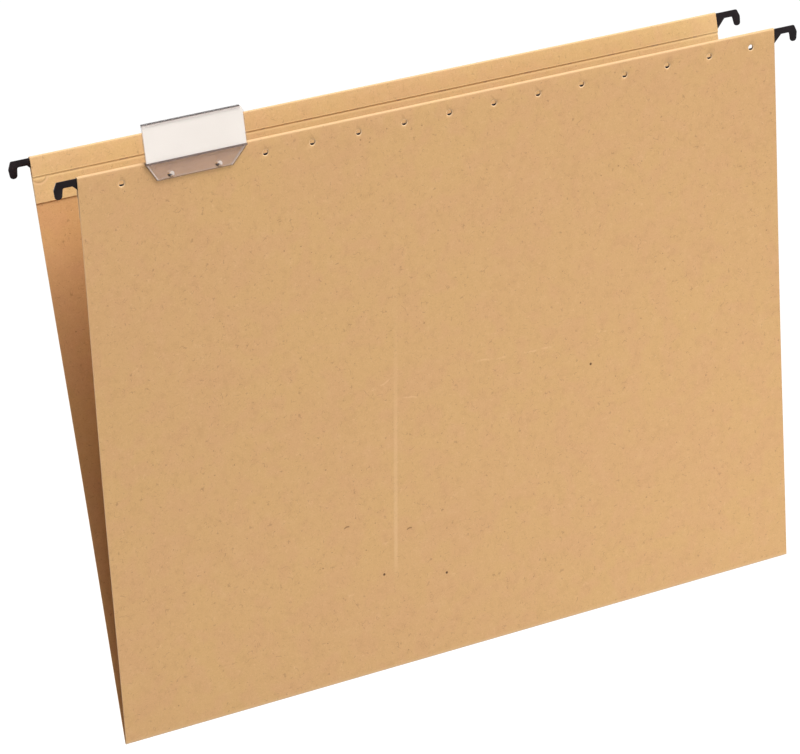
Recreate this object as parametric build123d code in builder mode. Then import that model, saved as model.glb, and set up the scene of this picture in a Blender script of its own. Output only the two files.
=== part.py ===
"""A hanging file folder: one sheet of kraft card folded into two leaves, hung from two hooked bars.

All sizes are millimetres. X runs along the fold, +Z is up and the front leaf, with its index tab, faces -Y.
The origin is the middle of the bottom fold's axis. Both leaves lean out from the vertical, as they hang.
"""

import os
from math import cos, radians, sin

from build123d import *

# Card sheet
card_width = 326.0
leaf_height = 240.0
rear_rise = 2.0
card_thick = 0.4
crease_inside_r = 0.2
crease_gap = 0.1
leaf_lean = 5.25

# Hem: the strip at the top of each leaf that is folded in over the bar and glued down
pocket_depth = 8.1
flap_length = 17.2
hem_corner_r = 0.2
jog_height = 0.6
glue_thick = 0.1
glue_inset = 0.6
glue_end_inset = 3.0

# Hanger bar, one flat strip with a hook at each end
bar_thick = 0.6
bar_height = 7.4
bar_side_gap = 0.05
bar_top_gap = 0.1
hook_reach = 11.0
hook_drop = 7.0
hook_shoulder = 9.7
hook_brow = 3.0
hook_tip_width = 2.9
hook_tip_outset = 0.4
arm_height = 2.8
seat_start = 2.9
seat_end = 7.1
gusset_foot = 1.8
shoulder_r = 0.9
brow_r = 1.6
seat_r = 0.7
gusset_r = 0.5
front_bar_shift = 1.0
rear_bar_shift = 1.5

# Row of punched holes along the front hem
hole_count = 15
hole_r = 1.2
hole_drop = 6.2
left_hole_margin = 18.6
right_hole_margin = 12.0

# Index tab: a clear sleeve on a flange with two pegs
tab_skip_count = 1
tab_width = 44.4
tab_offset = 1.1
tab_lean = 6.5
tab_seat_gap = 0.05
tab_overlap = 1.1
flange_thick = 0.8
flange_below = 1.9
flange_cut = 5.5
sleeve_height = 16.4
sleeve_wall = 0.4
sleeve_floor = 0.6
sleeve_setback = 0.2
sleeve_notch_width = 1.7
sleeve_notch_depth = 2.4
slot_width = 0.45
peg_gap = 0.05
peg_proud = 0.8
peg_chamfer = 0.3
peg_head_r = 1.45
peg_head_height = 0.45
peg_head_round = 0.35

# Label insert
label_thick = 0.25
label_edge_gap = 0.15
label_end_gap = 0.2

# One overrun serves every cut
overrun = 1.0

# The front leaf lies towards -Y from the fold and the rear leaf towards +Y
y_sign = {"front": -1, "rear": 1}
bar_shift = {"front": front_bar_shift, "rear": rear_bar_shift}

# The sheet is folded a little off its middle, so the rear leaf and its hem stand above the front ones
leaf_rise = {"front": 0, "rear": rear_rise}

# Places worked out from the sizes above, as distances out of the fold axis and up the leaf
lean = radians(leaf_lean)
sleeve_tilt = radians(tab_lean)
crease_outside_r = crease_inside_r + card_thick
half_width = card_width / 2
pocket_face = crease_inside_r - bar_thick - 2 * bar_side_gap
hem_inner_face = pocket_face - card_thick
hem_outside_r = hem_corner_r + card_thick
hem_start = leaf_height - hem_outside_r
jog_top = leaf_height - pocket_depth
jog_foot = jog_top - jog_height
flap_foot = leaf_height - flap_length
glued_face = crease_inside_r - glue_thick
bar_top = leaf_height - card_thick - bar_top_gap
bar_back = crease_inside_r - bar_side_gap - bar_thick
hole_height = leaf_height - hole_drop
hole_pitch = (card_width - left_hole_margin - right_hole_margin) / (hole_count - 1)
hole_places = [(left_hole_margin + i * hole_pitch - half_width, hole_height) for i in range(hole_count)]
peg_places = hole_places[tab_skip_count : tab_skip_count + 2]
peg_r = hole_r - peg_gap
peg_middle = sum(x for x, _ in peg_places) / len(peg_places)
sleeve_middle = peg_middle + tab_offset
flange_half_foot = tab_width / 2 - flange_cut
tab_seat = crease_outside_r + tab_seat_gap
sleeve_foot = leaf_height - tab_overlap
sleeve_thick = 2 * sleeve_wall + slot_width
slot_height = sleeve_height - sleeve_floor - sleeve_wall
label_height = slot_height - 2 * label_edge_gap
label_width = tab_width - 2 * label_end_gap


def leaf_out(side):
    """The direction square to a leaf, out of the folder."""
    return Vector(0, y_sign[side] * cos(lean), -sin(lean))


def leaf_up(side):
    """The direction up a leaf, square to the fold."""
    return Vector(0, y_sign[side] * sin(lean), cos(lean))


def section_plane(side, length, rise=0):
    """A leaf's cross-section, at one end of a piece of this length: x out of the folder, y up the leaf.

    Its origin is this rise above the fold axis.
    """
    along = Vector(y_sign[side], 0, 0)
    origin = leaf_up(side) * rise - along * (length / 2)
    return Plane(origin=origin, x_dir=leaf_out(side), z_dir=along)


def face_plane(side, depth):
    """A leaf seen from outside, this far out of the fold axis: y up the leaf, z out of the folder.

    Its origin is the leaf's rise above the fold axis.
    """
    origin = leaf_out(side) * depth + leaf_up(side) * leaf_rise[side]
    return Plane(origin=origin, x_dir=(-y_sign[side], 0, 0), z_dir=leaf_out(side))


def sleeve_across():
    """The direction through the sleeve, from its back to its front, tipped back from the front leaf's."""
    return leaf_out("front") * cos(sleeve_tilt) + leaf_up("front") * sin(sleeve_tilt)


def sleeve_place(along):
    """A point on the back edge of the sleeve's foot, this far along the fold from the sleeve's middle."""
    foot = leaf_out("front") * (tab_seat + sleeve_setback) + leaf_up("front") * sleeve_foot
    return foot + Vector(sleeve_middle + along, 0, 0)


def sleeve_plane(length):
    """The sleeve's cross-section, at one end of a piece of this length: x through the sleeve, y up it."""
    return Plane(origin=sleeve_place(length / 2), x_dir=sleeve_across(), z_dir=(y_sign["front"], 0, 0))


def sleeve_face_plane(depth):
    """The sleeve seen from the front, this far from its back: x along the fold, y up the sleeve."""
    return Plane(origin=sleeve_place(0) + sleeve_across() * depth, x_dir=(1, 0, 0), z_dir=sleeve_across())


def leaf_panel(side):
    """A flat leaf, from the crease up to where the hem starts to turn."""
    with BuildPart() as panel:
        with BuildSketch(section_plane(side, card_width)):
            with Locations((crease_inside_r, 0)):
                Rectangle(card_thick, hem_start + leaf_rise[side], align=(Align.MIN, Align.MIN))
        extrude(amount=card_width)
    return panel.part


def hem_flap(side):
    """The hem: square over the bar, down inside the leaf, in at the jog and down the glued strip."""
    outer_corner = (crease_inside_r - hem_corner_r, hem_start)
    inner_corner = (pocket_face + hem_corner_r, hem_start)
    with BuildPart() as flap:
        with BuildSketch(section_plane(side, card_width, leaf_rise[side])):
            with BuildLine():
                for corner_r in (hem_corner_r, hem_outside_r):
                    over = CenterArc(outer_corner, corner_r, 0, 90)
                    down = CenterArc(inner_corner, corner_r, 90, 90)
                    Line(over @ 1, down @ 0)
                Polyline(
                    (hem_inner_face, hem_start),
                    (hem_inner_face, jog_top),
                    (glued_face - card_thick, jog_foot),
                    (glued_face - card_thick, flap_foot),
                    (glued_face, flap_foot),
                    (glued_face, jog_foot),
                    (pocket_face, jog_top),
                    (pocket_face, hem_start),
                )
                Line((crease_inside_r, hem_start), (crease_outside_r, hem_start))
            make_face()
        extrude(amount=card_width)
    return flap.part


def hem_glue(side):
    """The glue line between a leaf and the foot of its flap."""
    length = card_width - 2 * glue_end_inset
    height = jog_foot - flap_foot - 2 * glue_inset
    with BuildPart() as glue:
        with BuildSketch(section_plane(side, length, leaf_rise[side])):
            with Locations((glued_face, flap_foot + glue_inset)):
                Rectangle(glue_thick, height, align=(Align.MIN, Align.MIN))
        extrude(amount=length)
    return glue.part


def hanger_bar(side):
    """A bar across the whole card, with a gusset, an arm and a turned-down tip past each edge.

    It lies loose in its pocket, a little off the middle of the card.
    """
    tip_r = hook_tip_width / 2
    tip_centre = bar_top - hook_drop + tip_r
    tip_outer = half_width + hook_reach - hook_tip_outset
    tip_inner = tip_outer - hook_tip_width
    with BuildPart() as bar:
        with BuildSketch(face_plane(side, bar_back)):
            with BuildLine():
                FilletPolyline(
                    (0, bar_top),
                    (half_width + hook_shoulder, bar_top),
                    (half_width + hook_reach, bar_top - hook_brow),
                    (tip_outer, tip_centre),
                    radius=[shoulder_r, brow_r],
                )
                CenterArc((tip_outer - tip_r, tip_centre), tip_r, 180, 180)
                FilletPolyline(
                    (tip_inner, tip_centre),
                    (half_width + seat_end, bar_top - arm_height),
                    (half_width + seat_start, bar_top - arm_height),
                    (half_width - gusset_foot, bar_top - bar_height),
                    (0, bar_top - bar_height),
                    radius=[seat_r, gusset_r, gusset_r],
                )
                mirror(about=Plane.YZ)
            make_face()
        extrude(amount=bar_thick)
    return bar.part.moved(Location((bar_shift[side], 0, 0)))


# Rods that cut the row of round holes right through the front hem
with BuildPart() as hole_rods:
    with BuildSketch(face_plane("front", crease_outside_r + overrun)):
        with Locations(*hole_places):
            Circle(hole_r)
    extrude(amount=hem_inner_face - crease_outside_r - 2 * overrun)

# Rear half of the card and its bar
with BuildPart() as rear_leaf:
    add(leaf_panel("rear"))

with BuildPart() as rear_hem_flap:
    add(hem_flap("rear"))

with BuildPart() as rear_hem_glue:
    add(hem_glue("rear"))

with BuildPart() as rear_hanger_bar:
    add(hanger_bar("rear"))

# The bottom crease turns from the rear leaf's outside to the front leaf's, round the fold axis
with BuildPart() as bottom_crease:
    crease_turn = 180 - 2 * leaf_lean
    with BuildSketch(section_plane("rear", card_width)):
        with BuildLine():
            outside = CenterArc((0, 0), crease_outside_r, -crease_turn, crease_turn)
            inside = CenterArc((0, 0), crease_inside_r, -crease_turn, crease_turn)
            Line(outside @ 0, inside @ 0)
            Line(outside @ 1, inside @ 1)
        make_face()
    extrude(amount=card_width)

# Front half of the card and its bar; the leaf's foot is hollowed so that it turns round the crease
with BuildPart() as front_leaf:
    add(leaf_panel("front"))
    with BuildSketch(section_plane("front", card_width)):
        Circle(crease_outside_r + crease_gap)
    extrude(amount=card_width, mode=Mode.SUBTRACT)
    add(hole_rods.part, mode=Mode.SUBTRACT)

with BuildPart() as front_hem_flap:
    add(hem_flap("front"))
    add(hole_rods.part, mode=Mode.SUBTRACT)

with BuildPart() as front_hem_glue:
    add(hem_glue("front"))

with BuildPart() as front_hanger_bar:
    add(hanger_bar("front"))
    add(hole_rods.part, mode=Mode.SUBTRACT)

# Index tab: the flange lies on the front leaf, the sleeve stands above it and the pegs go through the hem
with BuildPart() as index_tab:
    with BuildSketch(face_plane("front", tab_seat)):
        with Locations((peg_middle, 0)):
            Polygon(
                (tab_offset - tab_width / 2, sleeve_foot + sleeve_floor),
                (tab_offset - tab_width / 2, sleeve_foot),
                (-flange_half_foot, hole_height - flange_below),
                (flange_half_foot, hole_height - flange_below),
                (tab_offset + tab_width / 2, sleeve_foot),
                (tab_offset + tab_width / 2, sleeve_foot + sleeve_floor),
                align=None,
            )
    extrude(amount=flange_thick)
    with BuildSketch(sleeve_plane(tab_width)) as sleeve_section:
        Rectangle(sleeve_thick, sleeve_height, align=(Align.MIN, Align.MIN))
        fillet(sleeve_section.vertices().group_by(Axis.Y)[-1], sleeve_wall)
        with Locations((sleeve_wall, sleeve_floor)):
            Rectangle(slot_width, slot_height, align=(Align.MIN, Align.MIN), mode=Mode.SUBTRACT)
    extrude(amount=tab_width)
    # A notch at one top corner of the sleeve bares the label's corner, so that it can be drawn out
    with BuildSketch(sleeve_face_plane(sleeve_thick + overrun)):
        Polygon(
            (tab_width / 2 - sleeve_notch_width, sleeve_height),
            (tab_width / 2, sleeve_height - sleeve_notch_depth),
            (tab_width / 2 + overrun, sleeve_height - sleeve_notch_depth),
            (tab_width / 2 + overrun, sleeve_height + overrun),
            (tab_width / 2 - sleeve_notch_width, sleeve_height + overrun),
            align=None,
        )
    extrude(amount=-sleeve_thick - 2 * overrun, mode=Mode.SUBTRACT)
    with BuildSketch(face_plane("front", tab_seat + flange_thick)):
        with Locations(*peg_places):
            Circle(peg_head_r)
    extrude(amount=peg_head_height)
    fillet(edges(Select.LAST).filter_by(GeomType.CIRCLE).group_by(Axis.Y)[0], peg_head_round)
    with BuildSketch(face_plane("front", tab_seat)):
        with Locations(*peg_places):
            Circle(peg_r)
    extrude(amount=hem_inner_face - peg_proud - tab_seat)
    chamfer(edges(Select.LAST).filter_by(GeomType.CIRCLE).group_by(Axis.Y)[-1], peg_chamfer)

with BuildPart() as label_insert:
    with BuildSketch(sleeve_plane(label_width)):
        with Locations((sleeve_thick / 2, sleeve_floor + slot_height / 2)):
            Rectangle(label_thick, label_height)
    extrude(amount=label_width)

pieces = {
    "rear_leaf": rear_leaf,
    "rear_hem_flap": rear_hem_flap,
    "rear_hem_glue": rear_hem_glue,
    "rear_hanger_bar": rear_hanger_bar,
    "bottom_crease": bottom_crease,
    "front_leaf": front_leaf,
    "front_hem_flap": front_hem_flap,
    "front_hem_glue": front_hem_glue,
    "front_hanger_bar": front_hanger_bar,
    "index_tab": index_tab,
    "label_insert": label_insert,
}

os.makedirs("parts", exist_ok=True)
for name, piece in pieces.items():
    piece.part.label = name
    export_step(piece.part, f"parts/{name}.step")
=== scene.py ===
import math

import bmesh
import bpy
from mathutils import Matrix, Vector


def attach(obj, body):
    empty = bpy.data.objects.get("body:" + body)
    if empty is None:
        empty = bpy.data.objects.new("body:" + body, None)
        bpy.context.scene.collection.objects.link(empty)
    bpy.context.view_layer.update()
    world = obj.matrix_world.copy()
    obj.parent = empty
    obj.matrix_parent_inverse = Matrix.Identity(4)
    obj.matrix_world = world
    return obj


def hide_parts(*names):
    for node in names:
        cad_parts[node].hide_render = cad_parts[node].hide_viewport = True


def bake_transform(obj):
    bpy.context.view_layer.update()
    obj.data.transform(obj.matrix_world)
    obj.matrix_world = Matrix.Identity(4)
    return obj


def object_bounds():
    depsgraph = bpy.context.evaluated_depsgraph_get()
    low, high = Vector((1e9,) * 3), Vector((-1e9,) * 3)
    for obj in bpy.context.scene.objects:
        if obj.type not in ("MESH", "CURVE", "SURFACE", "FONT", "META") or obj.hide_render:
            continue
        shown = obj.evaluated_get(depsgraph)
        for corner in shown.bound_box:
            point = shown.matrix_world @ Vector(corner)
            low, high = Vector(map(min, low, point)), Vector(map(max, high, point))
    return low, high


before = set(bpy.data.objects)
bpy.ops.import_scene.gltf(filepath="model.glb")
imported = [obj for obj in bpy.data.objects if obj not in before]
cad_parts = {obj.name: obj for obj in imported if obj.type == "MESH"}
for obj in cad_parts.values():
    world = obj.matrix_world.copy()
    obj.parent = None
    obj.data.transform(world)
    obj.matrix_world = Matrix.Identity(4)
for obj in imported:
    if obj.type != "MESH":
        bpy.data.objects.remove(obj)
cadLow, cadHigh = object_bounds()

# The folder's sizes are in millimetres, which mm turns into metres; studio and camera are in metres
mm = 0.001
ySide = {"front": -1, "rear": 1}
lean = math.radians(5.25)  # how far each leaf leans out


def outOf(side):
    return Vector((0, ySide[side] * math.cos(lean), -math.sin(lean)))


def upOf(side):
    return Vector((0, ySide[side] * math.sin(lean), math.cos(lean)))


# A place on a leaf: x along the fold, n out of the folder, u up the leaf
def leafPlace(side, x, n, u):
    return (Vector((x, 0, 0)) + outOf(side) * n + upOf(side) * u) * mm


# Node maths, shared by the shaders and the geometry trees
class Wire:
    def __init__(self, tree, socket=None):
        self.tree = tree
        self.socket = socket

    def add(self, kind, settings=None, sockets=None, out=0):
        node = self.tree.nodes.new(kind)
        for name, value in (settings or {}).items():
            setattr(node, name, value)
        for name, value in (sockets or {}).items():
            if isinstance(value, Wire):
                self.tree.links.new(value.socket, node.inputs[name])
            else:
                node.inputs[name].default_value = value
        return Wire(self.tree, node.outputs[out] if len(node.outputs) else None)

    # Another output of the node that this one comes from
    def beside(self, out):
        return Wire(self.tree, self.socket.node.outputs[out])

    def math(self, operation, *values):
        return self.add("ShaderNodeMath", {"operation": operation}, dict(enumerate(values)))

    def __add__(self, other):
        return self.math("ADD", self, other)

    def __radd__(self, other):
        return self.math("ADD", other, self)

    def __sub__(self, other):
        return self.math("SUBTRACT", self, other)

    def __rsub__(self, other):
        return self.math("SUBTRACT", other, self)

    def __mul__(self, other):
        return self.math("MULTIPLY", self, other)

    def __rmul__(self, other):
        return self.math("MULTIPLY", other, self)

    def __truediv__(self, other):
        return self.math("DIVIDE", self, other)

    def __rtruediv__(self, other):
        return self.math("DIVIDE", other, self)

    def __abs__(self):
        return self.math("ABSOLUTE", self)

    def __pow__(self, other):
        return self.math("POWER", self, other)

    # 0 below low, 1 above high, smooth between them; high may be the lower one
    def step(self, low, high):
        return self.add("ShaderNodeMapRange", {"interpolation_type": "SMOOTHSTEP"},
                        {"Value": self, "From Min": low, "From Max": high})

    def most(self, other):
        return self.math("MAXIMUM", self, other)

    def least(self, other):
        return self.math("MINIMUM", self, other)

    def along(self, direction):
        if not isinstance(direction, Wire):
            direction = tuple(direction)
        return self.add("ShaderNodeVectorMath", {"operation": "DOT_PRODUCT"},
                        {0: self, 1: direction}, "Value")

    def scaled(self, share):
        return self.add("ShaderNodeVectorMath", {"operation": "SCALE"}, {0: self, "Scale": share})

    def shifted(self, other):
        return self.add("ShaderNodeVectorMath", {"operation": "ADD"}, {0: self, 1: other})

    def noise(self, scale, detail=2.0, roughness=0.5, out=0):
        return self.add("ShaderNodeTexNoise", None,
                        {"Vector": self, "Scale": scale, "Detail": detail, "Roughness": roughness}, out)

    # The first colour, turning into the second as share goes from 0 to 1
    def between(self, first, second, share):
        return self.add("ShaderNodeMix", {"data_type": "RGBA"},
                        {0: share, 6: (*first, 1), 7: (*second, 1)}, 2)

    # This colour with another laid over it, as strong as mask
    def under(self, colour, mask, blend="MIX"):
        return self.add("ShaderNodeMix", {"data_type": "RGBA", "blend_type": blend},
                        {0: mask, 6: self, 7: (*colour, 1)}, 2)


def newMaterial(name):
    material = bpy.data.materials.new(name)
    material.use_nodes = True
    material.node_tree.nodes.clear()
    return material, Wire(material.node_tree)


# Where a point of the piece is, in millimetres
def placeOn(pen):
    return pen.add("ShaderNodeTexCoord", out="Object").scaled(1 / mm)


# Colour, roughness and relief in one shader; look gives the relief's strength and depth, and any gloss
def surface(pen, look, colour, roughness, height):
    bump = pen.add("ShaderNodeBump", None,
                   {"Strength": look["bump"], "Distance": look["bumpDepth"] * mm, "Height": height})
    sockets = {"Base Color": colour, "Roughness": roughness, "Normal": bump}
    if "gloss" in look:
        sockets["Specular IOR Level"] = look["gloss"]
    return pen.add("ShaderNodeBsdfPrincipled", None, sockets)


def finishMaterial(pen, shader):
    pen.add("ShaderNodeOutputMaterial", None, {"Surface": shader})


# How far along and aside of the line between two places a point of the leaf is, and the line's length
def nearLine(x, u, start, end):
    run = Vector(end) - Vector(start)
    length = run.length
    run /= length
    alongRun = (x - start[0]) * run.x + (u - start[1]) * run.y
    aside = (x - start[0]) * -run.y + (u - start[1]) * run.x
    return alongRun, aside, length


# How far a point of the leaf is from a place on it
def awayFrom(x, u, place):
    return ((x - place[0]) ** 2 + (u - place[1]) ** 2) ** 0.5


# Kraft card: tan, mottled, with short fibres and brown flecks. A noise's scale is in cycles to the
# millimetre, and a span says where a patch or line begins and where it is full
kraftLook = {
    "tan": (0.652, 0.386, 0.178),
    "ochre": (0.656, 0.398, 0.174),
    "rose": (0.656, 0.376, 0.184),
    "shade": (0.520, 0.300, 0.128),
    "fleck": (0.270, 0.130, 0.055),
    "pale": (0.800, 0.530, 0.290),
    "cut": (0.800, 0.570, 0.340),
    "jog": (0.900, 0.630, 0.310),
    "inside": (0.935, 0.868, 0.830),
    "flap": (1.090, 1.190, 1.215),
    "cloudNoise": {"scale": 0.022, "detail": 2.0},
    "cloudSpan": (0.30, 0.70),
    "roseNoise": {"scale": 0.11, "detail": 1.0},
    "roseSpan": (0.42, 0.66),
    "roseShare": 0.6,
    "blotchNoise": {"scale": 0.24, "detail": 3.0, "roughness": 0.62},
    "grainNoise": {"scale": 1.7, "detail": 2.0, "roughness": 0.6},
    "mottle": {
        "shade": {"blotchSpan": (0.48, 0.74), "blotchShare": 0.24,
                  "grainSpan": (0.50, 0.78), "grainShare": 0.44},
        "pale": {"blotchSpan": (0.46, 0.24), "blotchShare": 0.12,
                 "grainSpan": (0.46, 0.22), "grainShare": 0.28},
    },
    "wobbleNoise": {"scale": 0.8, "detail": 1.0},
    "wobble": 0.9,
    "fibres": {
        "fleck": {"noise": {"scale": 0.42, "detail": 0.0}, "level": 0.50, "span": (0.030, 0.006),
                  "gapNoise": {"scale": 0.50, "detail": 1.0}, "gapSpan": (0.55, 0.66),
                  "share": 0.36, "relief": -0.25},
        "pale": {"noise": {"scale": 0.47, "detail": 0.0}, "level": 0.46, "span": (0.026, 0.005),
                 "gapNoise": {"scale": 0.45, "detail": 1.0}, "gapSpan": (0.46, 0.36),
                 "share": 0.30, "relief": 0.25},
    },
    "flecks": [
        {"cells": 0.24, "pick": (0.70, 0.72), "least": 0.04, "most": 0.12, "share": 0.62},
        {"cells": 0.85, "pick": (0.66, 0.68), "least": 0.08, "most": 0.22, "share": 0.40},
    ],
    "fleckSpan": (1.0, 0.45),
    "browWear": (-0.9, -0.1),
    "creaseWear": (1.2, -0.3),
    "wearLeast": 0.22,
    "wearPatchy": 0.3,
    "cutShare": 0.75,
    "jogFoot": (-1.9, -1.1),
    "jogHead": (0.4, 0.0),
    "jogLightShare": 0.9,
    "roughness": 0.86,
    "roughSwing": 0.12,
    "gloss": 0.22,
    "bump": 0.22,
    "bumpDepth": 0.12,
    "grainRelief": 0.5,
    "blotchRelief": 0.35,
}
# Painted shade and painted highlight of the small dent at the rear hem's left end
hemDentShading = {
    "centre": (-160.2, 234.6),
    "radius": 3.4,
    "below": 233.0,
    "fade": 0.3,
    "dentShadeSpan": (0.4, 0.12),
    "dentShadeShare": 0.32,
    "dentGlintOutset": 0.8,
    "dentGlintSpan": (0.64, 0.0),
    "dentGlintShare": 0.8,
}
frontMarks = {
    "rubTop": (-23.4, 206.0),
    "rubFoot": (-34.0, 40.0),
    "rubWidth": 2.5,
    "rubCore": 0.35,
    "rubSway": 0.3,
    "rubFaint": 0.1,
    "rubGrows": (0.25, 0.75),
    "rubStart": (-4, 6),
    "rubEnd": (3, -12),
    "rubShare": 0.36,
    "rubRelief": 0.5,
    "scuffs": [((10.0, 125.0), (47.0, 123.0)), ((-25.5, 117.8), (-18.4, 116.2)),
               ((69.0, 125.4), (78.0, 123.6)), ((-40.1, 123.2), (-28.4, 127.2))],
    "scuffSpan": (0.5, 0.12),
    "scuffStart": (-1, 2),
    "scuffEnd": (1, -2),
    "scuffSwayNoise": {"scale": 0.12, "detail": 1.0},
    "scuffSway": 3,
    "scuffGapNoise": {"scale": 0.35, "detail": 2.0},
    "scuffGapSpan": (0.40, 0.56),
    "scuffShare": 0.45,
    "dots": [(-39.6, 42.3), (-9.8, 35.5), (65.4, 111.5)],
    "dotColour": (0.10, 0.045, 0.02),
    "dotSpan": (0.75, 0.35),
    "dotShare": 0.95,
    "hairs": [(-55.7, 66.9), (-26.4, 59.2)],
    "hairColour": (0.22, 0.11, 0.045),
    "hairSpan": (0.42, 0.15),
    "hairEnds": (1.5, 0.9),
    "hairLean": 0.4,
    "hairCurl": 0.3,
    "hairArch": 0.7,
    "hairShare": 0.75,
}


# Thin contour lines of a warped noise, broken into short lengths
def fibreLines(place, warped, fibre):
    line = abs(warped.noise(**fibre["noise"]) - fibre["level"]).step(*fibre["span"])
    return line * place.noise(**fibre["gapNoise"]).step(*fibre["gapSpan"])


# A few of the cells hold a fleck, each of its own size
def fleckSpots(pen, warped, fleck):
    near = pen.add("ShaderNodeTexVoronoi", {"voronoi_dimensions": "3D", "feature": "F1"},
                   {"Vector": warped, "Scale": fleck["cells"]})
    pick = pen.add("ShaderNodeSeparateColor", None, {0: near.beside("Color")})
    size = pick.beside(1) * (fleck["most"] - fleck["least"]) + fleck["least"]
    return (near / size).step(*kraftLook["fleckSpan"]) * pick.step(*fleck["pick"])


# The front leaf's face has one long rub, a few scuffs, dots and hairs
def addFrontMarks(place, wobble, x, u, outer, colour, height):
    f = frontMarks
    run, aside, length = nearLine(x, u, f["rubTop"], f["rubFoot"])
    half = f["rubWidth"] / 2
    band = abs(aside + wobble.along((f["rubSway"], 0, 0))).step(half, half * f["rubCore"])
    grows = run.step(*(length * share for share in f["rubGrows"]))
    band = band * (grows * (1 - f["rubFaint"]) + f["rubFaint"]) * run.step(*f["rubStart"])
    band = band * run.step(*(length + reach for reach in f["rubEnd"])) * outer
    colour = colour.under(kraftLook["pale"], band * f["rubShare"])
    height = height + band * f["rubRelief"]
    sway = (place.noise(**f["scuffSwayNoise"]) - 0.5) * f["scuffSway"]
    gaps = place.noise(**f["scuffGapNoise"]).step(*f["scuffGapSpan"])
    for start, end in f["scuffs"]:
        run, aside, length = nearLine(x, u, start, end)
        band = abs(aside + sway).step(*f["scuffSpan"]) * run.step(*f["scuffStart"])
        band = band * run.step(*(length + reach for reach in f["scuffEnd"])) * gaps * outer
        colour = colour.under(kraftLook["pale"], band * f["scuffShare"])
    for dot in f["dots"]:
        spot = awayFrom(x, u, dot).step(*f["dotSpan"]) * outer
        colour = colour.under(f["dotColour"], spot * f["dotShare"])
    for hairX, hairU in f["hairs"]:
        arch = (1.0 - (x - hairX - f["hairLean"]) ** 2 * f["hairCurl"]) * f["hairArch"]
        band = abs(u - hairU - arch).step(*f["hairSpan"]) * abs(x - hairX).step(*f["hairEnds"]) * outer
        colour = colour.under(f["hairColour"], band * f["hairShare"])
    return colour, height


# The rear hem has a dent at its left end, painted only as light and shade: a round line of painted shade in
# the fleck colour, with a painted highlight in the pale colour outside it
def addHemDentShading(x, u, hem, colour):
    d = hemDentShading
    away = awayFrom(x, u, d["centre"]) - d["radius"]
    low = u.step(d["below"] + d["fade"], d["below"] - d["fade"]) * hem
    fold = abs(away).step(*d["dentShadeSpan"]) * low
    dentGlint = abs(away - d["dentGlintOutset"]).step(*d["dentGlintSpan"]) * low
    colour = colour.under(kraftLook["fleck"], fold * d["dentShadeShare"])
    return colour.under(kraftLook["pale"], dentGlint * d["dentGlintShare"])


def kraftCard(name, side):
    k = kraftLook
    material, pen = newMaterial(name)
    place = placeOn(pen)
    x, u = place.along((1, 0, 0)), place.along(upOf(side))
    wobble = place.noise(**k["wobbleNoise"], out="Color").scaled(k["wobble"])
    warped = place.shifted(wobble)
    blotch = place.noise(**k["blotchNoise"])
    grain = place.noise(**k["grainNoise"])
    colour = pen.between(k["tan"], k["ochre"], place.noise(**k["cloudNoise"]).step(*k["cloudSpan"]))
    colour = colour.under(k["rose"], place.noise(**k["roseNoise"]).step(*k["roseSpan"]) * k["roseShare"])
    for tone, m in k["mottle"].items():
        colour = colour.under(k[tone], blotch.step(*m["blotchSpan"]) * m["blotchShare"]
                              + grain.step(*m["grainSpan"]) * m["grainShare"])
    height = grain * k["grainRelief"] + blotch * k["blotchRelief"]
    for tone, fibre in k["fibres"].items():
        lines = fibreLines(place, warped, fibre)
        colour = colour.under(k[tone], lines * fibre["share"])
        height = height + lines * fibre["relief"]
    for fleck in k["flecks"]:
        colour = colour.under(k["fleck"], fleckSpots(pen, warped, fleck) * fleck["share"])
    # The sheet's inner face is a little redder and the hem's flap a little yellower
    kind = pen.add("ShaderNodeAttribute", {"attribute_name": "faceKind"}, None, "Color")
    inner = pen.add("ShaderNodeSeparateColor", None, {0: kind})
    hem, cut = inner.beside(1), inner.beside(2)
    colour = colour.under(k["inside"], inner, "MULTIPLY").under(k["flap"], hem, "MULTIPLY")
    # Worn folds and cut edges are paler
    brow, jog = (cardSizes[level] + cardSizes["rise"][side] for level in ("hemTop", "pocketFoot"))
    wear = u.step(*(brow + level for level in k["browWear"])).most(u.step(*k["creaseWear"]))
    wear = wear * (k["wearLeast"] + k["wearPatchy"] * blotch)
    colour = colour.under(k["cut"], wear.most(cut * k["cutShare"]))
    # Painted light: the step below the pocket is painted paler, to lighten the shade line under it
    bend = u.step(*(jog + level for level in k["jogFoot"])) * u.step(*(jog + level for level in k["jogHead"]))
    colour = colour.under(k["jog"], bend * hem * k["jogLightShare"])
    if side == "front":
        colour, height = addFrontMarks(place, wobble, x, u, 1 - inner, colour, height)
    else:
        colour = addHemDentShading(x, u, hem, colour)
    roughness = k["roughness"] + (grain - 0.5) * k["roughSwing"]
    finishMaterial(pen, surface(pen, k, colour, roughness, height))
    return material


# Geometry trees
def newTree(name, inputs):
    tree = bpy.data.node_groups.new(name, "GeometryNodeTree")
    tree.interface.new_socket("Geometry", in_out="INPUT", socket_type="NodeSocketGeometry")
    for socketName, kind in inputs:
        tree.interface.new_socket(socketName, in_out="INPUT", socket_type="NodeSocket" + kind)
    tree.interface.new_socket("Geometry", in_out="OUTPUT", socket_type="NodeSocketGeometry")
    entry = tree.nodes.new("NodeGroupInput")
    return tree, Wire(tree), {s.name: Wire(tree, s) for s in entry.outputs if s.name}


def closeTree(pen, shape, material):
    whole = pen.add("GeometryNodeRealizeInstances", None, {"Geometry": shape})
    dressed = pen.add("GeometryNodeSetMaterial", None, {"Geometry": whole, "Material": material})
    pen.add("NodeGroupOutput", None, {"Geometry": dressed})


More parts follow.
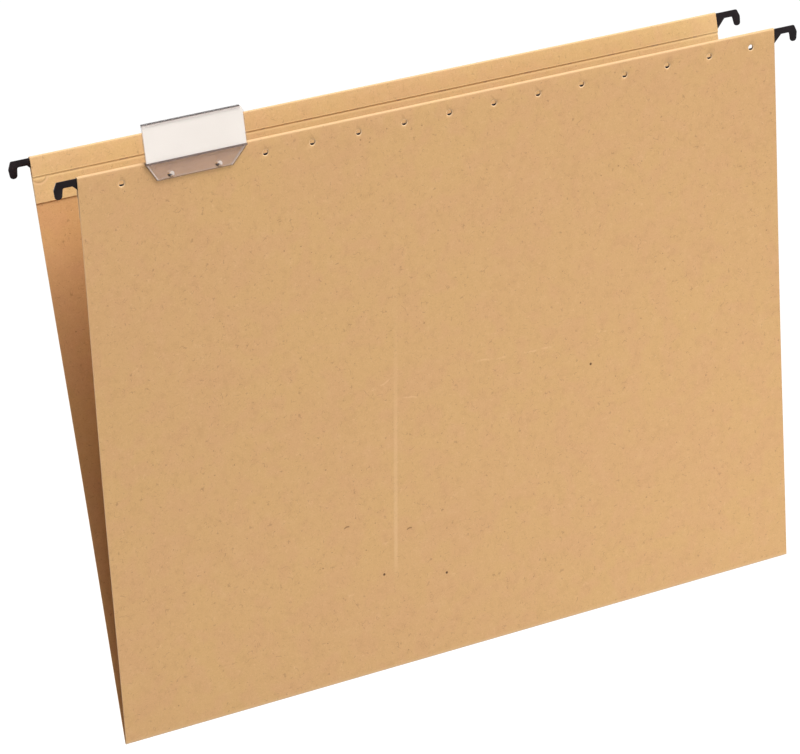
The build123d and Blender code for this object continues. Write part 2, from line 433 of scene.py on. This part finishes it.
# A section swept along the fold, then bowed a little between its crease and its hem
def sweepTree():
    tree, pen, given = newTree("sweptCard", [
        ("Width", "Float"), ("Columns", "Int"), ("Bow Left", "Float"), ("Bow Middle", "Float"),
        ("Bow Right", "Float"), ("Ripple", "Float"), ("Ripple Scale", "Float"), ("Settled Height", "Float"),
        ("Outward", "Vector"), ("Upward", "Vector"), ("Finish", "Material")])
    half = given["Width"] * 0.5
    start = pen.add("ShaderNodeCombineXYZ", None, {"X": half * -1.0})
    end = pen.add("ShaderNodeCombineXYZ", None, {"X": half})
    line = pen.add("GeometryNodeCurvePrimitiveLine", None, {"Start": start, "End": end})
    line = pen.add("GeometryNodeResampleCurve", None, {"Curve": line, "Count": given["Columns"]})
    line = pen.add("GeometryNodeSetCurveNormal", {"mode": "Z_UP"}, {"Curve": line})
    section = pen.add("GeometryNodeMeshToCurve", None, {"Mesh": given["Geometry"]})
    sheet = pen.add("GeometryNodeCurveToMesh", None,
                    {"Curve": line, "Profile Curve": section, "Fill Caps": True})
    place = pen.add("GeometryNodeInputPosition")
    share = (place.along(given["Upward"]) / given["Settled Height"]).most(0.0).least(1.0)
    belly = pen.math("SINE", share * math.pi) ** 2
    across = place.along((1, 0, 0)) / given["Width"] + 0.5
    back = 1 - across
    bow = given["Bow Left"] * back * back + given["Bow Right"] * across * across
    bow = bow + given["Bow Middle"] * across * back * 2
    ripple = (place.noise(given["Ripple Scale"], detail=0.0) - 0.5) * given["Ripple"]
    offset = given["Outward"].scaled((bow + ripple) * belly)
    sheet = pen.add("GeometryNodeSetPosition", None, {"Geometry": sheet, "Offset": offset})
    closeTree(pen, sheet, given["Finish"])
    return tree


# One cutter repeated along a row and taken out of a sheet
def punchTree():
    tree, pen, given = newTree("punchedRow", [
        ("Count", "Int"), ("First", "Vector"), ("Step", "Vector"), ("Cutter", "Object"),
        ("Finish", "Material")])
    row = pen.add("GeometryNodeMeshLine", {"mode": "OFFSET"},
                  {"Count": given["Count"], "Start Location": given["First"], "Offset": given["Step"]})
    cutter = pen.add("GeometryNodeObjectInfo", None, {"Object": given["Cutter"]}, "Geometry")
    cutters = pen.add("GeometryNodeInstanceOnPoints", None, {"Points": row, "Instance": cutter})
    cutters = pen.add("GeometryNodeRealizeInstances", None, {"Geometry": cutters})
    punched = pen.add("GeometryNodeMeshBoolean", {"operation": "DIFFERENCE", "solver": "EXACT"},
                      {"Mesh 1": given["Geometry"], "Mesh 2": cutters})
    closeTree(pen, punched, given["Finish"])
    return tree


def runTree(piece, tree, values):
    modifier = piece.modifiers.new(tree.name, "NODES")
    modifier.node_group = tree
    for socket in tree.interface.items_tree:
        if socket.in_out == "INPUT" and socket.name in values:
            modifier[socket.identifier] = values[socket.name]


def newObject(name, data):
    made = bpy.data.objects.new(name, data)
    bpy.context.scene.collection.objects.link(made)
    return made


# A mesh object from a finished bmesh
def newPiece(name, work, finish=None):
    mesh = bpy.data.meshes.new(name)
    work.to_mesh(mesh)
    work.free()
    if finish:
        mesh.materials.append(finish)
    return newObject(name, mesh)


def easeEdges(piece, width, steps, angle):
    edge = piece.modifiers.new("easedEdges", "BEVEL")
    edge.width = width * mm
    edge.segments = steps
    edge.limit_method = "ANGLE"
    edge.angle_limit = math.radians(angle)


mergeGap = {"settled": 0.0005, "packed": 0.001}  # points nearer than this become one


# The piece with its modifiers worked into a plain, tidy mesh
def settle(piece, smoothAngle=30):
    bpy.context.view_layer.update()
    seen = piece.evaluated_get(bpy.context.evaluated_depsgraph_get())
    mesh = bpy.data.meshes.new_from_object(seen)
    piece.modifiers.clear()
    old = piece.data
    piece.data = mesh
    bpy.data.meshes.remove(old)
    mesh.name = piece.name
    work = bmesh.new()
    work.from_mesh(mesh)
    bmesh.ops.remove_doubles(work, verts=work.verts, dist=mergeGap["settled"] * mm)
    bmesh.ops.dissolve_degenerate(work, edges=work.edges, dist=mergeGap["settled"] * mm)
    bmesh.ops.recalc_face_normals(work, faces=work.faces)
    work.to_mesh(mesh)
    work.free()
    mesh.shade_smooth()
    mesh.set_sharp_from_angle(angle=math.radians(smoothAngle))
    return piece


# A line of corners with rounded bends; each corner is two places and a radius
def roundedLine(corners, closed=False, arcSteps=6, longest=None):
    count = len(corners)
    line = []
    for i, (across, up, radius) in enumerate(corners):
        here = Vector((across, up))
        if radius == 0 or (not closed and i in (0, count - 1)):
            line.append(here)
            continue
        before = (Vector(corners[i - 1][:2]) - here).normalized()
        after = (Vector(corners[(i + 1) % count][:2]) - here).normalized()
        bend = before.angle(after)
        reach = radius / math.tan(bend / 2)
        centre = here + (before + after).normalized() * (radius / math.sin(bend / 2))
        first = here + before * reach - centre
        turn = math.pi - bend
        if before.x * after.y - before.y * after.x > 0:
            turn = -turn
        for k in range(arcSteps + 1):
            part = turn * k / arcSteps
            line.append(centre + Vector((first.x * math.cos(part) - first.y * math.sin(part),
                                         first.x * math.sin(part) + first.y * math.cos(part))))
    if not longest:
        return line
    spaced = [line[0]]
    for a, b in zip(line, line[1:]):
        steps = max(1, math.ceil((b - a).length / longest))
        spaced += [a.lerp(b, k / steps) for k in range(1, steps + 1)]
    return spaced


# Card: one folded sheet, as two leaves with their hems and the crease between them. Faces are those of
# the sheet's middle, and a bow is given at the left end, the middle and the right end
cardSizes = {
    "width": 326.0,
    "thick": 0.4,
    "leafFace": 0.4,
    "hemTop": 239.8,
    "hemFace": -0.7,
    "pocketFoot": 231.9,
    "flapFace": -0.25,
    "flapStart": 231.2,
    "footFace": -0.1,
    "flapFoot": {"front": 222.8, "rear": 223.0},
    "foldRadius": 0.6,
    "innerFoldRadius": 0.45,
    "jogRadius": 0.25,
    "rise": {"front": 0.0, "rear": 2.0},
    "bow": {"rear": (-0.5, 0.3, -0.5), "front": (-1.1, 0.2, -0.5)},
    "ripple": 0.5,
    "rippleScale": 9.0,
    "rowHeight": 4.0,
    "columns": {"rear": 180, "front": 110},
}
holeRow = {
    "count": 15,
    "first": -144.4,
    "pitch": 21.1,
    "height": 233.8,
    "radius": 1.2,
    "mouthRadius": 1.5,
    "mouthDepth": 0.2,
    "mouthEase": (0.4, 0.35),
    "flapRadius": 1.5,
    "flapStep": (-0.2, -0.1),
    "cutterFoot": -3.0,
    "cutterHead": (1.0, 0.3),
    "segments": 28,
    "barSlot": 1.0,
    "barLift": 0.65,
}
faceSorting = {"end": 0.9, "holeWall": 0.97, "inward": -0.4}  # limits on the turn of a face


def cardSection(side):
    s = cardSizes
    rise = s["rise"][side]
    middle = roundedLine([
        (s["leafFace"], 0, 0),
        (s["leafFace"], s["hemTop"] + rise, s["foldRadius"]),
        (s["hemFace"], s["hemTop"] + rise, s["innerFoldRadius"]),
        (s["hemFace"], s["pocketFoot"] + rise, s["jogRadius"]),
        (s["flapFace"], s["flapStart"] + rise, s["jogRadius"]),
        (s["footFace"], s["flapFoot"][side], 0),
    ], longest=s["rowHeight"])
    return sheetLoop(middle, s["thick"])


# The closed outline of a sheet of this thickness along a middle line
def sheetLoop(middle, thick):
    outside, inside = [], []
    for i, here in enumerate(middle):
        run = middle[min(i + 1, len(middle) - 1)] - middle[max(i - 1, 0)]
        run.normalize()
        aside = Vector((run.y, -run.x)) * (thick / 2)
        outside.append(here + aside)
        inside.append(here - aside)
    return outside + inside[::-1]


def sweptCard(name, side, loop, columns, bow, finish):
    # The tree lays the section's x and y along -Y and -Z
    places = [leafPlace(side, 0, n, u) for n, u in loop]
    points = [(-p.y, -p.z, 0) for p in places]
    mesh = bpy.data.meshes.new(name)
    mesh.from_pydata(points, [(i, (i + 1) % len(points)) for i in range(len(points))], [])
    piece = newObject(name, mesh)
    runTree(piece, sweepCard, {
        "Width": cardSizes["width"] * mm, "Columns": columns,
        "Bow Left": bow[0] * mm, "Bow Middle": bow[1] * mm, "Bow Right": bow[2] * mm,
        "Ripple": cardSizes["ripple"] * mm, "Ripple Scale": cardSizes["rippleScale"],
        "Settled Height": cardSizes["flapFoot"][side] * mm,
        "Outward": outOf(side), "Upward": upOf(side), "Finish": finish})
    return piece


# A cutter for the holes: straight through with an eased mouth at the card's face, and for the bar a slot
def holeCutter(name, slot, lift):
    h = holeRow
    face = cardSizes["leafFace"] + cardSizes["thick"] / 2
    deep = h["radius"] if slot else h["flapRadius"]
    easeDepth, easeWidth = h["mouthEase"]
    headReach, headWidth = h["cutterHead"]
    profile = [
        (h["cutterFoot"], deep),
        (h["flapStep"][0], deep),
        (h["flapStep"][1], h["radius"]),
        (face - h["mouthDepth"], h["radius"]),
        (face - h["mouthDepth"] * easeDepth, h["radius"] + (h["mouthRadius"] - h["radius"]) * easeWidth),
        (face, h["mouthRadius"]),
        (face + headReach, h["mouthRadius"] + headWidth),
    ]
    work = bmesh.new()
    rings = []
    for depth, radius in profile:
        ring = []
        for k in range(h["segments"]):
            turn = 2 * math.pi * (k + 0.5) / h["segments"]
            aside = slot if math.cos(turn) > 0 else -slot
            ring.append(work.verts.new(leafPlace("front", aside + radius * math.cos(turn), depth,
                                                 lift + radius * math.sin(turn))))
        rings.append(ring)
    for lower, upper in zip(rings, rings[1:]):
        for k in range(h["segments"]):
            after = (k + 1) % h["segments"]
            work.faces.new((lower[k], lower[after], upper[after], upper[k]))
    work.faces.new(rings[0])
    work.faces.new(rings[-1])
    bmesh.ops.recalc_face_normals(work, faces=work.faces)
    return newPiece(name, work)


def punch(piece, finish, slot=0.0, lift=0.0):
    h = holeRow
    cutter = holeCutter(piece.name + "Cutter", slot, lift)
    runTree(piece, punchRow, {
        "Count": h["count"], "First": leafPlace("front", h["first"], 0, h["height"]),
        "Step": Vector((h["pitch"] * mm, 0, 0)), "Cutter": cutter, "Finish": finish})
    settle(piece)
    bpy.data.objects.remove(cutter)


# Marks a card piece's faces: red for the sheet's inner face, green for the hem's flap, blue for cut edges
def markFaces(piece, side):
    h = holeRow
    mark = piece.data.attributes.new("faceKind", "FLOAT_COLOR", "FACE")
    for face in piece.data.polygons:
        outward = face.normal.dot(outOf(side))
        height = face.center.dot(upOf(side)) / mm
        cut = abs(face.normal.x) > faceSorting["end"]
        for k in range(h["count"]):
            away = math.hypot(face.center.x / mm - h["first"] - k * h["pitch"], height - h["height"])
            cut = cut or (away < h["mouthRadius"] and abs(outward) < faceSorting["holeWall"])
        inward = outward < faceSorting["inward"] and not cut
        flap = height > cardSizes["flapFoot"][side] and face.center.dot(outOf(side)) < 0
        mark.data[face.index].color = (float(inward and not flap), float(inward and flap), float(cut), 1)


sweepCard = sweepTree()
punchRow = punchTree()
rearKraft = kraftCard("rearKraft", "rear")
frontKraft = kraftCard("frontKraft", "front")

rearCard = settle(sweptCard("rearCard", "rear", cardSection("rear"), cardSizes["columns"]["rear"],
                            cardSizes["bow"]["rear"], rearKraft))
markFaces(rearCard, "rear")
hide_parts("rear_leaf", "rear_hem_flap")
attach(rearCard, "rear_half")

frontCard = sweptCard("frontCard", "front", cardSection("front"), cardSizes["columns"]["front"],
                      cardSizes["bow"]["front"], frontKraft)
punch(frontCard, frontKraft)
markFaces(frontCard, "front")
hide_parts("front_leaf", "front_hem_flap")
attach(frontCard, "front_half")

creaseSizes = {"radius": 0.4, "steps": 24, "columns": 40, "bow": (0, 0, 0)}


# The crease runs from the rear leaf's foot round under the fold axis to the front leaf's foot
def creaseSection():
    turn = math.pi - 2 * lean
    middle = []
    for k in range(creaseSizes["steps"] + 1):
        part = -turn * k / creaseSizes["steps"]
        middle.append(Vector((math.cos(part), math.sin(part))) * creaseSizes["radius"])
    half = cardSizes["thick"] / 2
    return [p * (1 + half / p.length) for p in middle] + [p * (1 - half / p.length) for p in reversed(middle)]


creaseCard = settle(sweptCard("creaseCard", "rear", creaseSection(), creaseSizes["columns"],
                              creaseSizes["bow"], rearKraft))
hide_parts("bottom_crease")
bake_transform(creaseCard)
print("card folded:", sum(len(o.data.polygons) for o in (rearCard, frontCard, creaseCard)), "faces")


# Hanger bars: flat black strips with a hook at each end
barSizes = {
    "back": -0.45,
    "thick": 0.6,
    "top": 239.5,
    "height": 7.4,
    "reach": 11.0,
    "shoulder": 9.7,
    "shoulderRadius": 0.9,
    "brow": 3.0,
    "browRadius": 1.6,
    "drop": 7.0,
    "tipWidth": 2.9,
    "tipOutset": 0.4,
    "tipRound": 0.98,
    "armHeight": 2.8,
    "seatStart": 2.9,
    "seatStartRadius": 0.5,
    "seatEnd": 7.1,
    "seatEndRadius": 0.7,
    "gussetFoot": 1.8,
    "gussetRadius": 0.5,
    "arcSteps": 8,
    "edge": 0.13,
    "edgeSteps": 3,
    "edgeAngle": 40,
    "smoothAngle": 40,
    "shift": {"front": 1.0, "rear": 1.5},
}
lacquerLook = {
    "black": (0.0075, 0.0042, 0.0054),
    "rubbed": (0.017, 0.011, 0.0135),
    "peelNoise": {"scale": 1.6, "detail": 2.0, "roughness": 0.55},
    "peelSwing": 0.2,
    "smearNoise": {"scale": 0.16, "detail": 3.0, "roughness": 0.6},
    "smearSpan": (0.38, 0.72),
    "smearShare": 0.55,
    "smearSwing": 0.1,
    "dustNoise": {"scale": 4.5, "detail": 1.0},
    "dustSpan": (0.62, 0.78),
    "dustShare": 0.25,
    "dustRelief": 0.3,
    "roughness": 0.38,
    "gloss": 0.14,
    "bump": 0.18,
    "bumpDepth": 0.06,
}


def blackLacquer():
    k = lacquerLook
    material, pen = newMaterial("blackLacquer")
    place = placeOn(pen)
    peel = place.noise(**k["peelNoise"])
    smear = place.noise(**k["smearNoise"]).step(*k["smearSpan"])
    dust = place.noise(**k["dustNoise"]).step(*k["dustSpan"])
    colour = pen.between(k["black"], k["rubbed"], smear * k["smearShare"] + dust * k["dustShare"])
    roughness = k["roughness"] + (peel - 0.5) * k["peelSwing"] + smear * k["smearSwing"]
    finishMaterial(pen, surface(pen, k, colour, roughness, peel + dust * k["dustRelief"]))
    return material


def hangerBar(name, side, finish):
    b = barSizes
    half = cardSizes["width"] / 2
    tipOuter = half + b["reach"] - b["tipOutset"]
    tipFoot = b["top"] - b["drop"]
    tipRadius = b["tipWidth"] / 2 * b["tipRound"]
    rightEnd = [
        (half + b["shoulder"], b["top"], b["shoulderRadius"]),
        (half + b["reach"], b["top"] - b["brow"], b["browRadius"]),
        (tipOuter, tipFoot, tipRadius),
        (tipOuter - b["tipWidth"], tipFoot, tipRadius),
        (half + b["seatEnd"], b["top"] - b["armHeight"], b["seatEndRadius"]),
        (half + b["seatStart"], b["top"] - b["armHeight"], b["seatStartRadius"]),
        (half - b["gussetFoot"], b["top"] - b["height"], b["gussetRadius"]),
    ]
    corners = rightEnd + [(-x, u, radius) for x, u, radius in reversed(rightEnd)]
    moved = Vector((b["shift"][side], cardSizes["rise"][side]))
    outline = [p + moved for p in roundedLine(corners, closed=True, arcSteps=b["arcSteps"])]
    work = bmesh.new()
    back = [work.verts.new(leafPlace(side, x, b["back"], u)) for x, u in outline]
    face = [work.verts.new(leafPlace(side, x, b["back"] + b["thick"], u)) for x, u in outline]
    work.faces.new(back)
    work.faces.new(face)
    for k in range(len(outline)):
        after = (k + 1) % len(outline)
        work.faces.new((back[k], back[after], face[after], face[k]))
    bmesh.ops.recalc_face_normals(work, faces=work.faces)
    # Cut into cells, one to each hole
    for k in range(-1, holeRow["count"]):
        cell = (holeRow["first"] + (k + 0.5) * holeRow["pitch"]) * mm
        bmesh.ops.bisect_plane(work, geom=work.verts[:] + work.edges[:] + work.faces[:],
                               plane_co=(cell, 0, 0), plane_no=(1, 0, 0))
    piece = newPiece(name, work, finish)
    easeEdges(piece, b["edge"], b["edgeSteps"], b["edgeAngle"])
    return piece


lacquer = blackLacquer()
rearBar = settle(hangerBar("rearBar", "rear", lacquer), barSizes["smoothAngle"])
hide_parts("rear_hanger_bar")
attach(rearBar, "rear_half")
frontBar = hangerBar("frontBar", "front", lacquer)
punch(frontBar, lacquer, holeRow["barSlot"], holeRow["barLift"])
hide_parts("front_hanger_bar")
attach(frontBar, "front_half")
print("bars made:", sum(len(o.data.polygons) for o in (rearBar, frontBar)), "faces")


# Index tab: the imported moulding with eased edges, in clear plastic
tabSizes = {
    "middle": -111.65,
    "width": 44.4,
    "tilt": 6.5,
    "pegs": [-123.3, -102.2],
    "pegHeight": 233.8,
    "pegRadius": 1.45,
    "flangeFoot": 231.9,
    "flangeHalfFoot": 16.7,
    "seat": 0.65,
    "setback": 0.2,
    "foot": 238.9,
    "height": 16.4,
    "flatAngle": 1.5,
    "edge": 0.12,
    "edgeSteps": 2,
    "edgeAngle": 40,
    "smoothAngle": 15,
}
# Clear plastic: a body tint, with the edge colour used for painted shade lines and the glint colour for
# painted highlights
plasticLook = {
    "body": (0.60, 0.47, 0.44),
    "edge": (0.055, 0.034, 0.034),
    "glint": (0.92, 0.83, 0.78),
    "wallVeil": 0.030,
    "flangeVeil": 0.18,
    "shadeLineVeil": 0.78,
    "rimShadeVeil": 0.38,
    "glintVeil": 0.62,
    "swirlNoise": {"scale": 0.3, "detail": 2.0},
    "swirlVeil": 0.05,
    "swirlSwing": 0.05,
    "straightGloss": 0.04,
    "grazingGloss": 0.9,
    "grazingPower": 5.0,
    "roughness": 0.12,
    "bump": 0.06,
    "bumpDepth": 0.1,
}
# Painted shade lines and painted highlights of the moulding: on the sleeve they are measured from its top,
# foot or ends, on the flange inwards
tabShadeAndGlints = {
    "topSpan": (-0.62, -0.42),
    "topGlintAt": -0.95,
    "topGlintSpan": (0.32, 0.16),
    "topGlintShare": 0.8,
    "floorSpan": (0.80, 0.58),
    "floorFoot": (-0.12, 0.05),
    "floorShadeShare": 0.72,
    "endSpan": (-0.2, -0.05),
    "endFoot": (-0.1, 0.1),
    "endShadeShare": 0.38,
    "flangeSpan": (0.05, -0.15),
    "rimSpan": (0.34, 0.14),
    "bevelAt": 0.60,
    "bevelSpan": (0.32, 0.12),
    "bevelShare": 0.72,
    "sillSpan": (0.30, 0.10),
    "sillShare": 0.45,
    "lightFrom": (0.6, 0.8),
    "headCore": 0.72,
    "headLit": (-0.6, 0.2),
    "ringAt": 0.85,
    "ringSpan": (0.42, 0.2),
    "ringLit": (-0.1, -0.7),
}


# How far up the tilted sleeve a point is, from its foot
def upSleeve(place):
    t = tabSizes
    tilt = math.radians(t["tilt"])
    upward = upOf("front") * math.cos(tilt) - outOf("front") * math.sin(tilt)
    foot = outOf("front") * (t["seat"] + t["setback"]) + upOf("front") * t["foot"]
    return place.along(upward) - foot.dot(upward)


# Sleeve: painted shade lines along its top, its floor and its ends, where the clear plastic's folds and ends
# darken the view, and a painted highlight below the top
def sleeveShadeAndGlint(x, rise):
    t, m = tabSizes, tabShadeAndGlints
    top = rise.step(*(t["height"] + level for level in m["topSpan"]))
    floor = rise.step(*m["floorSpan"]) * rise.step(*m["floorFoot"]) * m["floorShadeShare"]
    ends = abs(x - t["middle"]).step(*(t["width"] / 2 + reach for reach in m["endSpan"]))
    ends = ends * rise.step(*m["endFoot"]) * m["endShadeShare"]
    glint = abs(rise - t["height"] - m["topGlintAt"]).step(*m["topGlintSpan"]) * m["topGlintShare"]
    return top.most(floor).most(ends), glint


# Flange: a rim of painted shade, with a painted highlight along the bevel inside it and a fainter one along
# its foot
def flangeShadeAndGlint(x, u, flange):
    t, m = tabSizes, tabShadeAndGlints
    pegMiddle = sum(t["pegs"]) / 2
    sides = []
    for end in (-1, 1):
        top = (t["middle"] + end * t["width"] / 2, t["foot"])
        corner = (pegMiddle + end * t["flangeHalfFoot"], t["flangeFoot"])
        sides.append(abs(nearLine(x, u, top, corner)[1]))
    inset = sides[0].least(sides[1])
    sill = u - t["flangeFoot"]
    rimShade = inset.least(sill).step(*m["rimSpan"]) * flange
    bevelGlint = abs(inset - m["bevelAt"]).step(*m["bevelSpan"]) * m["bevelShare"]
    bevelGlint = bevelGlint.most(abs(sill - m["bevelAt"]).step(*m["sillSpan"]) * m["sillShare"]) * flange
    return rimShade, bevelGlint


# Peg heads: a painted highlight at the upper right and a crescent of painted shade at the lower left, as if
# lit from the upper right
def pegGlintAndShade(x, u):
    t, m = tabSizes, tabShadeAndGlints
    pegGlints, rings = [], []
    for pegX in t["pegs"]:
        away = awayFrom(x, u, (pegX, t["pegHeight"]))
        lit = (x - pegX) * m["lightFrom"][0] + (u - t["pegHeight"]) * m["lightFrom"][1]
        pegGlints.append(away.step(t["pegRadius"], t["pegRadius"] * m["headCore"]) * lit.step(*m["headLit"]))
        rings.append(abs(away - t["pegRadius"] * m["ringAt"]).step(*m["ringSpan"]) * lit.step(*m["ringLit"]))
    return pegGlints[0].most(pegGlints[1]), rings[0].most(rings[1])


def clearPlastic():
    k = plasticLook
    material, pen = newMaterial("clearPlastic")
    place = placeOn(pen)
    x, u = place.along((1, 0, 0)), place.along(upOf("front"))
    rise = upSleeve(place)
    swirl = place.noise(**k["swirlNoise"])
    flange = rise.step(*tabShadeAndGlints["flangeSpan"])
    line, topGlint = sleeveShadeAndGlint(x, rise)
    rimShade, bevelGlint = flangeShadeAndGlint(x, u, flange)
    pegGlint, ring = pegGlintAndShade(x, u)
    # Painted highlights on the bevel, the peg heads and below the sleeve's top, and painted shade along the
    # sleeve lines, rim and peg crescents, thicken the veil in the glint and edge colours
    glint = bevelGlint.most(pegGlint).most(topGlint)
    veil = k["wallVeil"] + flange * (k["flangeVeil"] + (swirl - 0.5) * k["swirlVeil"])
    veil = veil.most(glint * k["glintVeil"])
    veil = veil.most(line * k["shadeLineVeil"]).most(rimShade.most(ring) * k["rimShadeVeil"])
    facing = pen.add("ShaderNodeLayerWeight", None, {"Blend": 0.5}, "Facing")
    gloss = facing ** k["grazingPower"] * k["grazingGloss"] + k["straightGloss"]
    colour = pen.between(k["body"], k["glint"], glint).under(k["edge"], line.most(rimShade).most(ring))
    solid = surface(pen, k, colour, k["roughness"] + swirl * k["swirlSwing"], swirl)
    clear = pen.add("ShaderNodeBsdfTransparent", None, {"Color": (1, 1, 1, 1)})
    finishMaterial(pen, pen.add("ShaderNodeMixShader", None, {0: veil.most(gloss), 1: clear, 2: solid}))
    return material


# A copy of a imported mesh, its triangles merged into flat faces
def cadCopy(name, node, flatAngle, finish):
    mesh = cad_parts[node].data.copy()
    mesh.name = name
    mesh.materials.clear()
    work = bmesh.new()
    work.from_mesh(mesh)
    bmesh.ops.remove_doubles(work, verts=work.verts, dist=mergeGap["packed"] * mm)
    bmesh.ops.dissolve_limit(work, angle_limit=math.radians(flatAngle), verts=work.verts, edges=work.edges)
    bmesh.ops.recalc_face_normals(work, faces=work.faces)
    work.to_mesh(mesh)
    work.free()
    if "custom_normal" in mesh.attributes:
        mesh.attributes.remove(mesh.attributes["custom_normal"])
    mesh.materials.append(finish)
    return newObject(name, mesh)


tabPiece = cadCopy("indexTab", "index_tab", tabSizes["flatAngle"], clearPlastic())
easeEdges(tabPiece, tabSizes["edge"], tabSizes["edgeSteps"], tabSizes["edgeAngle"])
settle(tabPiece, tabSizes["smoothAngle"])
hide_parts("index_tab")
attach(tabPiece, "tab")
print("tab moulded:", len(tabPiece.data.polygons), "faces")

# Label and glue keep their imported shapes
paperLook = {
    "white": (0.968, 0.920, 0.862),
    "grey": (0.90, 0.855, 0.798),
    "cloudNoise": {"scale": 0.06, "detail": 2.0},
    "cloudSpan": (0.3, 0.7),
    "cloudShare": 0.6,
    "fibreNoise": {"scale": 1.9, "detail": 3.0, "roughness": 0.65},
    "fibreSpan": (0.5, 0.8),
    "fibreShare": 0.3,
    "fibreSwing": 0.1,
    "roughness": 0.7,
    "gloss": 0.3,
    "bump": 0.1,
    "bumpDepth": 0.05,
}
glueLook = {
    "amber": (0.62, 0.47, 0.27),
    "clear": (0.74, 0.62, 0.42),
    "flowNoise": {"scale": 0.35, "detail": 3.0, "roughness": 0.6},
    "flowSpan": (0.35, 0.65),
    "flowSwing": 0.2,
    "roughness": 0.35,
    "bump": 0.4,
    "bumpDepth": 0.1,
}


def labelPaper():
    k = paperLook
    material, pen = newMaterial("labelPaper")
    place = placeOn(pen)
    cloud = place.noise(**k["cloudNoise"]).step(*k["cloudSpan"])
    fibre = place.noise(**k["fibreNoise"])
    colour = pen.between(k["white"], k["grey"],
                         cloud * k["cloudShare"] + fibre.step(*k["fibreSpan"]) * k["fibreShare"])
    roughness = k["roughness"] + (fibre - 0.5) * k["fibreSwing"]
    finishMaterial(pen, surface(pen, k, colour, roughness, fibre))
    return material


def hemGlue():
    k = glueLook
    material, pen = newMaterial("hemGlue")
    flow = placeOn(pen).noise(**k["flowNoise"])
    colour = pen.between(k["amber"], k["clear"], flow.step(*k["flowSpan"]))
    finishMaterial(pen, surface(pen, k, colour, k["roughness"] + flow * k["flowSwing"], flow))
    return material


def dress(node, finish):
    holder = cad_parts[node]
    if not holder.material_slots:
        holder.data.materials.append(finish)
    for slot in holder.material_slots:
        slot.material = finish


dress("label_insert", labelPaper())
glue = hemGlue()
dress("rear_hem_glue", glue)
dress("front_hem_glue", glue)
print("label and glue dressed")

# Studio: pale floor, white surround, soft lamps as name, place, size and power
studio = {
    "white": (1, 1, 1, 1),
    "surround": 0.28,
    "surroundTint": (1.0, 0.985, 0.965, 1),
    "floorPale": (0.95, 0.95, 0.95),
    "floorBounce": (0.49, 0.49, 0.49),
    "floorRoughness": 0.9,
    "floorGlow": 0.72,
    "floorFade": (0.8, 2.2),
    "floorWhite": 1.04,
    "floorReach": 6.0,
    "floorDrop": 0.27,
    "lamps": [
        ("keyLamp", (1.02, -1.52, 3.06), 2.7, 175.0),
        ("lowLamp", (0.22, -0.24, -0.06), 0.08, 0.13),
        ("backLamp", (-0.90, 2.10, 0.72), 1.1, 34.0),
    ],
    "aim": (0.0, 0.0, 0.12),
}


# 1 where the camera sees something, straight, mirrored or through the plastic
def seenDirectly(pen):
    camera = pen.add("ShaderNodeLightPath", out="Is Camera Ray")
    return camera.most(camera.beside("Is Glossy Ray")).most(camera.beside("Is Transmission Ray"))


def buildSurround():
    world = bpy.data.worlds.new("studio")
    bpy.context.scene.world = world
    world.use_nodes = True
    world.node_tree.nodes.clear()
    pen = Wire(world.node_tree)
    soft = pen.add("ShaderNodeBackground", None,
                   {"Color": studio["surroundTint"], "Strength": studio["surround"]})
    white = pen.add("ShaderNodeBackground", None, {"Color": studio["white"], "Strength": 1.0})
    mixed = pen.add("ShaderNodeMixShader", None, {0: seenDirectly(pen), 1: soft, 2: white})
    pen.add("ShaderNodeOutputWorld", None, {"Surface": mixed})


# The folder hangs clear of the floor, with room for the front leaf to swing right down
def buildFloor():
    s = studio
    reach, low = s["floorReach"], cadLow.z - s["floorDrop"]
    mesh = bpy.data.meshes.new("floor")
    mesh.from_pydata([(-reach, -reach, low), (reach, -reach, low), (reach, reach, low), (-reach, reach, low)],
                     [], [(0, 1, 2, 3)])
    material, pen = newMaterial("paleFloor")
    seen = seenDirectly(pen)
    tone = pen.between(s["floorBounce"], s["floorPale"], seen)
    matt = pen.add("ShaderNodeBsdfPrincipled", None, {"Base Color": tone, "Roughness": s["floorRoughness"]})
    glow = pen.add("ShaderNodeEmission", None, {"Color": s["white"], "Strength": s["floorWhite"]})
    away = pen.add("ShaderNodeVectorMath", {"operation": "LENGTH"},
                   {0: pen.add("ShaderNodeTexCoord", out="Object")}, "Value")
    # Plain white far out, shaded near the folder
    share = seen * away.step(*s["floorFade"]).most(s["floorGlow"])
    finishMaterial(pen, pen.add("ShaderNodeMixShader", None, {0: share, 1: matt, 2: glow}))
    mesh.materials.append(material)
    newObject("floor", mesh)


def buildLamps():
    for name, place, size, power in studio["lamps"]:
        lamp = bpy.data.lights.new(name, "AREA")
        lamp.shape = "DISK"
        lamp.size = size
        lamp.energy = power
        holder = newObject(name, lamp)
        holder.location = place
        holder.rotation_euler = (Vector(studio["aim"]) - Vector(place)).to_track_quat("-Z", "Y").to_euler()


buildSurround()
buildFloor()
buildLamps()
bpy.context.scene.view_settings.view_transform = "Standard"

cameraSetup = {
    "lens": 176.93,
    "sensor": 36.0,
    "location": (-0.75653, -1.38403, 0.55387),
    "right": (0.86497, -0.49159, -0.10082),
    "up": (0.21623, 0.18382, 0.95888),
}


def buildCamera():
    data = bpy.data.cameras.new("camera")
    data.lens = cameraSetup["lens"]
    data.sensor_width = cameraSetup["sensor"]
    camera = newObject("camera", data)
    right, up = Vector(cameraSetup["right"]).normalized(), Vector(cameraSetup["up"])
    back = right.cross(up).normalized()
    up = back.cross(right)
    turn = Matrix((right, up, back)).transposed().to_4x4()
    camera.matrix_world = Matrix.Translation(cameraSetup["location"]) @ turn
    bpy.context.scene.camera = camera


buildCamera()
print("studio and camera set")
